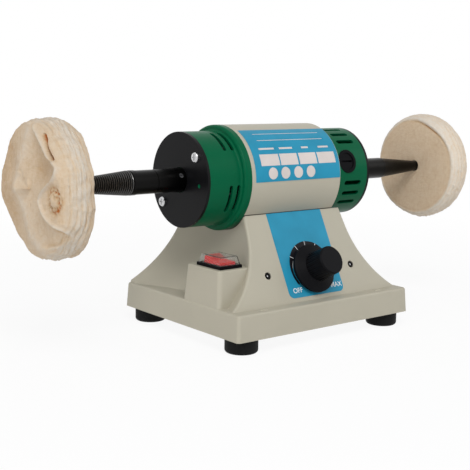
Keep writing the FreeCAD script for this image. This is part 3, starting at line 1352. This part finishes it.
def switch():
    """Frame with its well, rocker on a pin, clear cover and terminals."""
    body = switch_block("switch_body", *SWITCH_BODY, "dim.switch_depth", "-dim.switch_depth")
    flange = switch_block("switch_flange", "dim.bezel_width", "dim.bezel_length", "dim.bezel_height", "0")
    height = "dim.well_depth + dim.bezel_height"
    well = switch_block("switch_well", "dim.well_width", "dim.well_length", height, "-dim.well_depth")
    pin_half = "(dim.well_width / 2 - dim.rocker_gap + dim.pivot_reach)"
    pivot = (SWITCH_BASE[0], SWITCH_BASE[1], "dim.box_high - dim.pivot_drop")
    bearing_hole = rod(
        "pin_hole",
        "dim.pivot_radius + dim.run_gap",
        "(%s + dim.run_gap) * 2" % pin_half,
        ("%s - %s - dim.run_gap" % (pivot[0], pin_half), pivot[1], pivot[2]),
        (AXIS_Y, "90"),
    )
    frame = join("switch_frame_solid", [body, flange])
    node(cut("switch_frame", frame, gather("switch_frame_tools", [well, bearing_hole])), "switch_frame")

    rocker = new_body("rocker_body", pivot, (AXIS_X, "dim.rocker_tilt"))
    end = sketch_on(rocker, "YZ_Plane")
    outline(
        end,
        [
            ("-dim.rocker_half", "dim.rocker_high"),
            ("0", "dim.rocker_dip"),
            ("dim.rocker_half", "dim.rocker_high"),
            ("dim.rocker_half", "-dim.rocker_low / 3"),
            ("dim.rocker_half / 3", "-dim.rocker_low"),
            ("-dim.rocker_half / 3", "-dim.rocker_low"),
            ("-dim.rocker_half", "-dim.rocker_low / 3"),
        ],
    )
    extrude(rocker, end, "dim.well_width - dim.rocker_gap * 2", both=True)
    pin = sketch_on(rocker, "YZ_Plane")
    ring(pin, ("0", "0"), "dim.pivot_radius")
    extrude(rocker, pin, "%s * 2" % pin_half, both=True)
    node(rocker, "switch_rocker")

    outer = cover_shape("0", "cover_outer")
    inner = cover_shape("dim.cover_wall", "cover_inner")
    node(cut("switch_cover", outer, inner), "switch_cover")

    blades = []
    for way in ("-", "+"):
        base = (
            "%s - dim.blade_width / 2" % SWITCH_BASE[0],
            "%s %s dim.blade_spread - dim.blade_thickness / 2" % (SWITCH_BASE[1], way),
            "dim.box_high - dim.switch_depth - dim.blade_length",
        )
        blades.append(block("blade", ("dim.blade_width", "dim.blade_thickness", "dim.blade_length"), base))
    node(gather("switch_terminals", blades), "switch_terminals")


def cover_shape(inset, tag):
    """The clear cover's block, or the room inside it."""
    body = new_body(tag, (SWITCH_BASE[0], SWITCH_BASE[1], "dim.box_high + dim.bezel_height"))
    foot = sketch_on(body, "XY_Plane")
    half_wide = "(dim.bezel_width / 2 - dim.cover_inset - %s)" % inset
    half_long = "(dim.bezel_length / 2 - dim.cover_inset - %s)" % inset
    outline(foot, rectangle("-" + half_wide, "-" + half_long, half_wide, half_long))
    height = "dim.cover_height - %s" % inset
    pad = extrude(body, foot, height, draft="-dim.cover_draft")
    top = number(height)
    round_edges(body, pad, lambda edge: edge.BoundBox.ZMax > top - 0.01, "dim.cover_round - %s / 2" % inset)
    return body


# Panel, knob and speed control

def panel_label():
    """A film on the panel with rounded lower corners and the bush's hole."""
    body = new_body("panel_label_body", panel_point("0", "0", "0"), PANEL_TURN)
    face = sketch_on(body, "XY_Plane")
    half, low, bend = "dim.panel_label_half", "-dim.panel_label_length", "dim.panel_label_round"
    corners = [
        ("-" + half, "-dim.label_film"),
        ("-" + half, "%s + %s" % (low, bend), "-%s + %s" % (half, bend), "%s + %s" % (low, bend)),
        ("-%s + %s" % (half, bend), low),
        ("%s - %s" % (half, bend), low, "%s - %s" % (half, bend), "%s + %s" % (low, bend)),
        (half, "%s + %s" % (low, bend)),
        (half, "-dim.label_film"),
    ]
    outline(face, corners)
    ring(face, ("0", "-dim.knob_down"), "dim.pot_bush_radius + dim.fit_gap")
    extrude(body, face, "dim.label_film")
    node(body, "panel_label")


KNOB_BASE = panel_point("0", "dim.knob_down", "0")


def knob():
    """Ribbed grip on a wide skirt, hollow below for the nut, on the potentiometer's shaft."""
    body = new_body("knob_body", KNOB_BASE, PANEL_TURN)
    rim_top = "dim.skirt_low + dim.skirt_rim"
    roof = "dim.pot_bush_reach + dim.nut_height"
    hollow = "dim.nut_radius + dim.nut_height"
    corners = [
        (hollow, "dim.skirt_low"),
        ("dim.skirt_radius", "dim.skirt_low"),
        ("dim.skirt_radius", rim_top),
        ("dim.skirt_radius - dim.knob_edge", rim_top + " + dim.knob_edge / 2"),
        ("dim.grip_radius + dim.knob_edge", "dim.grip_foot - dim.knob_edge"),
        ("dim.grip_radius", "dim.grip_foot"),
        ("dim.grip_top_radius", "dim.knob_height - dim.knob_edge"),
        ("dim.grip_top_radius - dim.knob_edge", "dim.knob_height"),
        ("0", "dim.knob_height"),
        ("0", "dim.pot_shaft_reach"),
        ("dim.pot_shaft_radius", "dim.pot_shaft_reach"),
        ("dim.pot_shaft_radius", roof),
        (hollow, roof),
    ]
    revolve(body, corners, "V_Axis")
    flute = sketch_on(body, "XY_Plane", "dim.grip_foot")
    ring(flute, ("dim.grip_radius + dim.flute_out", "0"), "dim.flute_radius")
    groove = extrude(body, flute, "dim.knob_height", "Pocket", reverse=True)
    repeat_round(body, groove, flute, "dim.grip_flutes")
    node(body, "speed_knob")


def speed_control():
    """Potentiometer, its nut and shaft, bracket, board and board parts behind the panel."""
    behind = "(dim.wall + dim.bracket_thickness)"
    bore = "dim.pot_shaft_radius + dim.run_gap"
    floor = "-(%s + dim.pot_depth / 2)" % behind
    corners = [
        ("0", "-(%s + dim.pot_depth)" % behind),
        ("dim.pot_radius", "-(%s + dim.pot_depth)" % behind),
        ("dim.pot_radius", "-" + behind),
        ("dim.pot_bush_radius", "-" + behind),
        ("dim.pot_bush_radius", "dim.pot_bush_reach"),
        (bore, "dim.pot_bush_reach"),
        (bore, floor),
        ("0", floor),
    ]
    node(turned("pot_body", corners, KNOB_BASE, PANEL_TURN), "potentiometer")
    corners = [
        ("0", "%s + dim.run_gap" % floor),
        ("dim.pot_shaft_radius", "%s + dim.run_gap" % floor),
        ("dim.pot_shaft_radius", "dim.pot_shaft_reach"),
        ("0", "dim.pot_shaft_reach"),
    ]
    node(turned("pot_spindle", corners, KNOB_BASE, PANEL_TURN), "potentiometer_shaft")
    nut_base = panel_point("0", "dim.knob_down", "dim.label_film")
    sizes = {"Circumradius": "dim.nut_radius", "Height": "dim.nut_height"}
    hexagon = solid("Part::Prism", "nut_hexagon", sizes, nut_base, PANEL_TURN)
    thread = rod("nut_bore", "dim.pot_bush_radius", "dim.nut_height", nut_base, PANEL_TURN)
    node(cut("pot_nut", hexagon, thread), "potentiometer_nut")

    def slab(word, back):
        half_wide, half_high = "dim.%s_half" % word, "dim.%s_half_height" % word
        size = ("%s * 2" % half_wide, "%s * 2" % half_high, "dim.%s_thickness" % word)
        base = panel_point("(-%s)" % half_wide, "dim.knob_down + %s" % half_high, "-(%s)" % back)
        return block(word + "_slab", size, base, PANEL_TURN)

    plate = slab("bracket", behind)
    reach = "dim.bracket_thickness * 3"
    back = "-%s - dim.bracket_thickness" % behind
    bush = panel_point("0", "dim.knob_down", back)
    holes = [rod("bracket_bush_hole", "dim.pot_bush_radius + dim.fit_gap", reach, bush, PANEL_TURN)]
    for side in ("-dim.panel_screw_side", "dim.panel_screw_side"):
        base = panel_point(side, "dim.knob_down", back)
        holes.append(rod("bracket_screw_hole", "dim.socket_shank", reach, base, PANEL_TURN))
    posts = []
    for side in ("-dim.board_post_side", "dim.board_post_side"):
        for down in ("dim.knob_down - dim.board_post_up", "dim.knob_down + dim.board_post_up"):
            base = panel_point(side, down, "-(%s + dim.board_back)" % behind)
            posts.append(rod("board_post", "dim.board_post_radius", "dim.board_back", base, PANEL_TURN))
    bracket = cut("bracket_drilled", plate, gather("bracket_holes", holes))
    node(join("control_bracket", [bracket] + posts), "control_bracket")
    face = "%s + dim.board_back + dim.board_thickness" % behind
    node(slab("board", face), "control_board")
    level = "dim.knob_down"
    side = "dim.board_half / 2"
    can_base = panel_point(side, level + " - dim.board_post_up", "-(%s + dim.capacitor_length)" % face)
    can = rod("capacitor", "dim.capacitor_radius", "dim.capacitor_length", can_base, PANEL_TURN)
    choke_base = panel_point(side, level + " + dim.board_post_up", "-(%s + dim.choke_wire)" % face)
    sizes = {"Radius1": "dim.choke_radius", "Radius2": "dim.choke_wire"}
    choke = solid("Part::Torus", "choke", sizes, choke_base, PANEL_TURN)
    sink_side = "(-%s - dim.sink_width / 2)" % side
    sink_back = "-(%s + dim.sink_depth)" % face
    sink_base = panel_point(sink_side, level + " + dim.sink_height / 2", sink_back)
    size = ("dim.sink_width", "dim.sink_height", "dim.sink_depth")
    sink = block("heat_sink", size, sink_base, PANEL_TURN)
    node(gather("board_parts", [can, choke, sink]), "board_parts")


def panel_screws():
    """Two socket screws in their recesses, through the panel into the bracket."""
    screws = []
    for side in ("-dim.panel_screw_side", "dim.panel_screw_side"):
        base = panel_point(side, "dim.knob_down", "dim.socket_height - dim.socket_sink")
        reach = "dim.wall - dim.socket_sink + dim.bracket_thickness * 2"
        head = ("dim.socket_head", "dim.socket_height", "dim.socket_shank")
        screws.append(screw("panel_screw", *head, reach, base, PANEL_TURN, True))
    node(gather("panel_screws", screws), "panel_screws")


def build():
    """Every sub-part of the lathe."""
    pedestal()
    underside()
    motor_tube()
    motor_label()
    left_cap()
    right_cap()
    end_plate(LEFT, "plate_left", True)
    end_plate(RIGHT, "plate_right", False)
    plate_screws(LEFT, "plate_screws_left")
    plate_screws(RIGHT, "plate_screws_right")
    motor_screws()
    bearing(LEFT, "bearing_left")
    bearing(RIGHT, "bearing_right")
    stator()
    brush_gear("dim.vent_angle", "brush_front")
    brush_gear("(dim.vent_angle + 180)", "brush_rear")
    armature()
    left_spindle()
    right_spindle()
    spindle_screws()
    thread = ("dim.thread_start", "dim.thread_end", "dim.thread_radius", "dim.thread_tip")
    taper = ("dim.taper_start", "dim.taper_end", "dim.taper_radius", "dim.taper_tip")
    wheel(LEFT, "left", thread)
    wheel(RIGHT, "right", taper)
    switch()
    panel_label()
    knob()
    speed_control()
    panel_screws()


def check():
    """Stop if any object failed or any sub-part is not a valid solid."""
    failed = [thing.Name for thing in doc.Objects if "Invalid" in thing.State or "Error" in thing.State]
    if failed:
        raise RuntimeError("failed: " + ", ".join(failed))
    for thing in nodes:
        shape = thing.Shape
        if shape.isNull() or not shape.isValid() or not shape.Solids:
            failed.append(thing.Label)
    if failed:
        raise RuntimeError("not a valid solid: " + ", ".join(failed))


def export():
    """Write one file for each sub-part."""
    os.makedirs("parts", exist_ok=True)
    for thing in nodes:
        thing.Shape.exportStep("parts/%s.step" % thing.Label)
        size = thing.Shape.BoundBox
        print("%-22s %9.0f mm3  x %7.1f %7.1f  y %6.1f %6.1f  z %6.1f %6.1f" % (
            thing.Label, thing.Shape.Volume, size.XMin, size.XMax, size.YMin, size.YMax, size.ZMin, size.ZMax
        ))


build()
doc.recompute()
check()
export()
